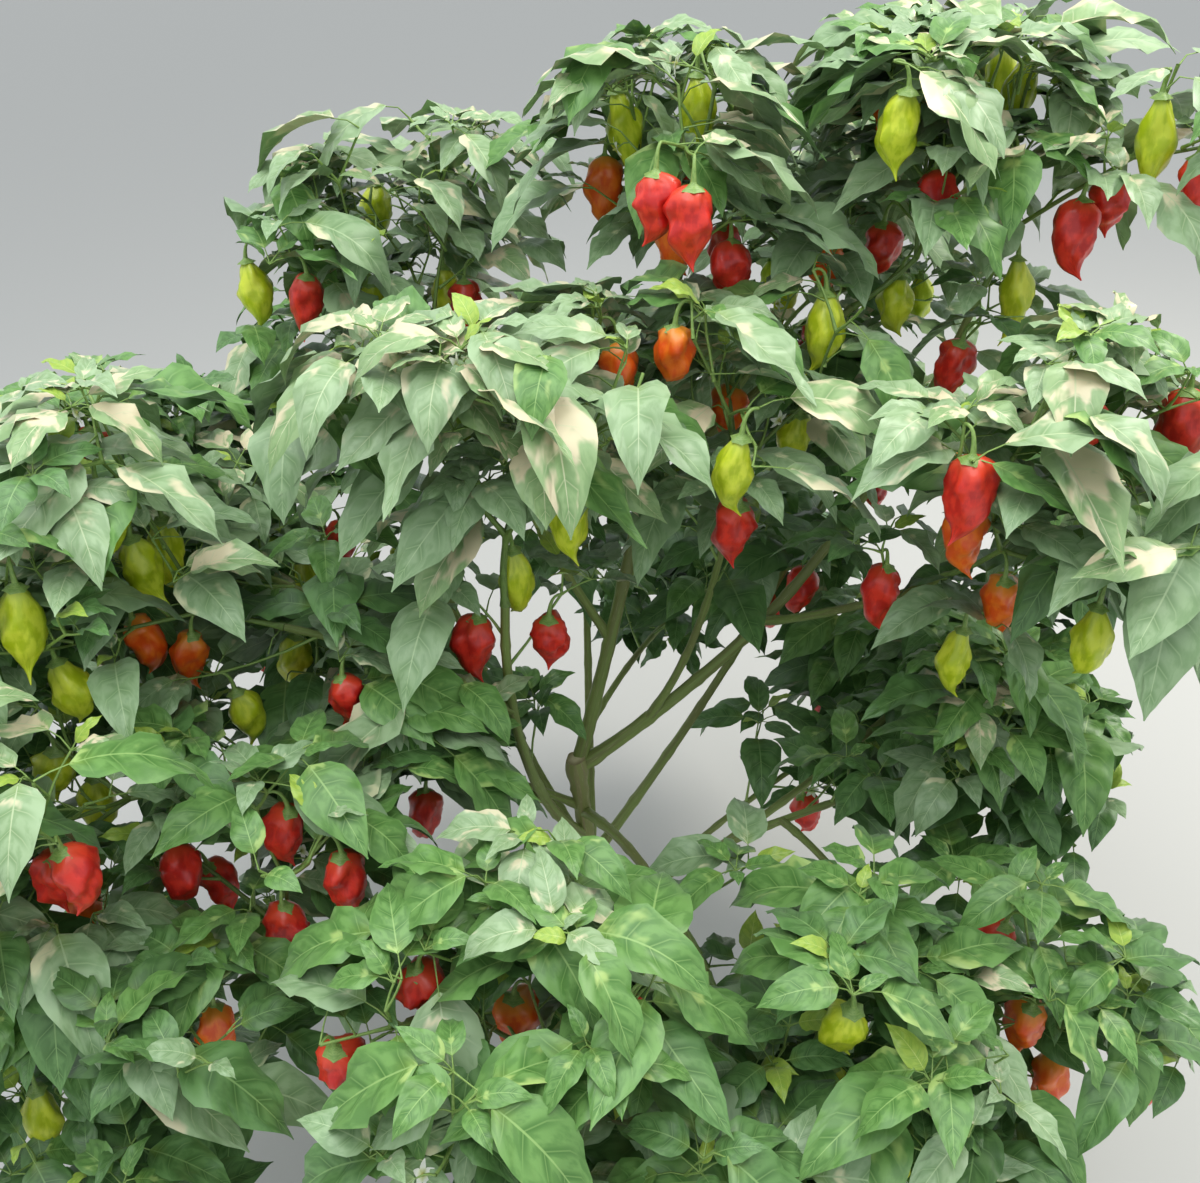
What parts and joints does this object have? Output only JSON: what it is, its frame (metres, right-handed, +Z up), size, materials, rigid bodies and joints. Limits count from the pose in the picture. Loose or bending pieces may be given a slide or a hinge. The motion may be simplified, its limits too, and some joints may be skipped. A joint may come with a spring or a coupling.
{
  "type": "chilli pepper plant",
  "caption": "Bushy chilli pepper plant: a green main stem with a flared foot, arching boughs and masses of drooping leaves with hanging wrinkled pods.",
  "frame": {"origin": "centre of the flat cut under the main stem, at ground level", "axes": "+Z up; -Y is the front, the side that the picture was taken from; +X is to the right in the picture"},
  "size_m": [1.3445, 1.1973, 1.3102],
  "materials": {
    "stem": "ridged green bark, satin",
    "foliage": "green leaves with a soft sheen, waxy pods"
  },
  "bodies": {
    "root": {"main_stem": "stem", "bough_leader": "stem", "bough_right": "stem", "bough_front_right": "stem", "bough_left": "stem", "bough_back_left": "stem", "bough_front": "stem", "bough_back_right": "stem", "bough_back": "stem", "bough_front_left": "stem", "bough_right_low": "stem", "bough_back_left_high": "stem", "bough_back_right_high": "stem", "bough_right_high": "stem", "bough_right_front": "stem", "bough_inner": "stem", "bough_left_inner": "stem", "bough_left_low": "stem", "bough_left_side": "stem", "bough_left_outer": "stem", "bough_right_skirt": "stem", "bough_right_outer": "stem", "bough_back_low": "stem", "bough_back_left_low": "stem", "bough_left_skirt": "stem", "bough_right_inner": "stem", "bough_left_middle": "stem", "foliage_leader": "foliage", "foliage_right": "foliage", "foliage_front_right": "foliage", "foliage_left": "foliage", "foliage_back_left": "foliage", "foliage_front": "foliage", "foliage_back_right": "foliage", "foliage_back": "foliage", "foliage_front_left": "foliage", "foliage_right_low": "foliage", "foliage_back_left_high": "foliage", "foliage_back_right_high": "foliage", "foliage_right_high": "foliage", "foliage_right_front": "foliage", "foliage_inner": "foliage", "foliage_left_inner": "foliage", "foliage_left_low": "foliage", "foliage_left_side": "foliage", "foliage_left_outer": "foliage", "foliage_right_skirt": "foliage", "foliage_right_outer": "foliage", "foliage_back_low": "foliage", "foliage_back_left_low": "foliage", "foliage_left_skirt": "foliage", "foliage_right_inner": "foliage", "foliage_left_middle": "foliage"}
  },
  "joints": []
}
